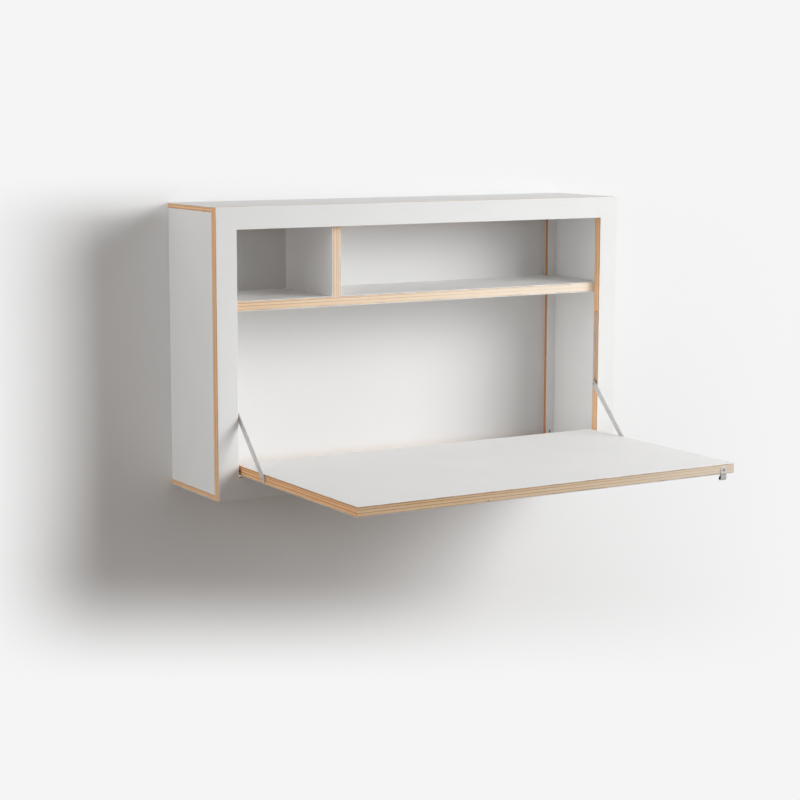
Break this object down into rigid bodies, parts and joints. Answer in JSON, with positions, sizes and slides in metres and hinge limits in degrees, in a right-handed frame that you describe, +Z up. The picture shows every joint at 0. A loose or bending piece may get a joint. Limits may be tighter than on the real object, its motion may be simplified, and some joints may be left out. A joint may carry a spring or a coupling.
{
  "type": "fold down wall desk",
  "caption": "Wall cabinet in white laminated plywood with a shelf and divider behind a desk leaf that folds down on pivot pins and hangs on sliding flat steel stays.",
  "frame": {"origin": "on the wall plane, at the centre of the rectangle of the four wall screw holes, which is also the middle of the case's back", "axes": "+X to the right along the case's width as seen by a person in front of it, +Y into the wall, +Z up; the desk leaf folds out towards -Y"},
  "size_m": [1, 0.7135, 0.6],
  "materials": {
    "laminated_plywood": "white matt laminate on both faces, raw oiled birch plywood edges",
    "beech": "plain beech strip",
    "nylon": "dark grey moulded nylon",
    "stay_steel": "zinc plated, satin",
    "pull_steel": "brushed stainless steel"
  },
  "bodies": {
    "cabinet": {"front_frame": "laminated_plywood", "left_side": "laminated_plywood", "right_side": "laminated_plywood", "top_panel": "laminated_plywood", "bottom_panel": "laminated_plywood", "back_frame": "laminated_plywood", "shelf": "laminated_plywood", "divider": "laminated_plywood", "case_tongues": "beech", "front_tongues": "beech", "back_tongues": "beech", "pivot_bushes": "nylon"},
    "leaf": {"leaf": "laminated_plywood", "pivot_pins": "stay_steel", "stay_screws": "stay_steel", "stay_washers": "stay_steel", "finger_pull": "pull_steel", "pull_screw": "pull_steel"},
    "left_stay": {"left_stay": "stay_steel", "left_stay_stud": "stay_steel"},
    "right_stay": {"right_stay": "stay_steel", "right_stay_stud": "stay_steel"},
    "left_glide": {"left_glide": "nylon"},
    "right_glide": {"right_glide": "nylon"}
  },
  "joints": [
    {"name": "leaf_fold", "type": "hinge", "parent": "cabinet", "child": "leaf", "pos_m": [0, -0.221, -0.241], "axis": [-1, 0, 0], "range_deg": [0, 90]},
    {"name": "left_stay_turn", "type": "hinge", "parent": "leaf", "child": "left_stay", "pos_m": [-0.4515, -0.335, -0.2395], "axis": [1, 0, 0], "range_deg": [0, 135]},
    {"name": "right_stay_turn", "type": "hinge", "parent": "leaf", "child": "right_stay", "pos_m": [0.4515, -0.335, -0.2395], "axis": [1, 0, 0], "range_deg": [0, 135]},
    {"name": "left_glide_run", "type": "slide", "parent": "cabinet", "child": "left_glide", "axis": [0, 0, 1], "range_m": [0, 0.1604]},
    {"name": "right_glide_run", "type": "slide", "parent": "cabinet", "child": "right_glide", "axis": [0, 0, 1], "range_m": [0, 0.1604]}
  ],
  "couplings": [
    {"joint": "left_stay_turn", "follows": "leaf_fold", "ratio": 1.5},
    {"joint": "right_stay_turn", "follows": "leaf_fold", "ratio": 1.5},
    {"joint": "left_glide_run", "follows": "leaf_fold", "m_per_rad": 0.10208},
    {"joint": "right_glide_run", "follows": "leaf_fold", "m_per_rad": 0.10208}
  ]
}
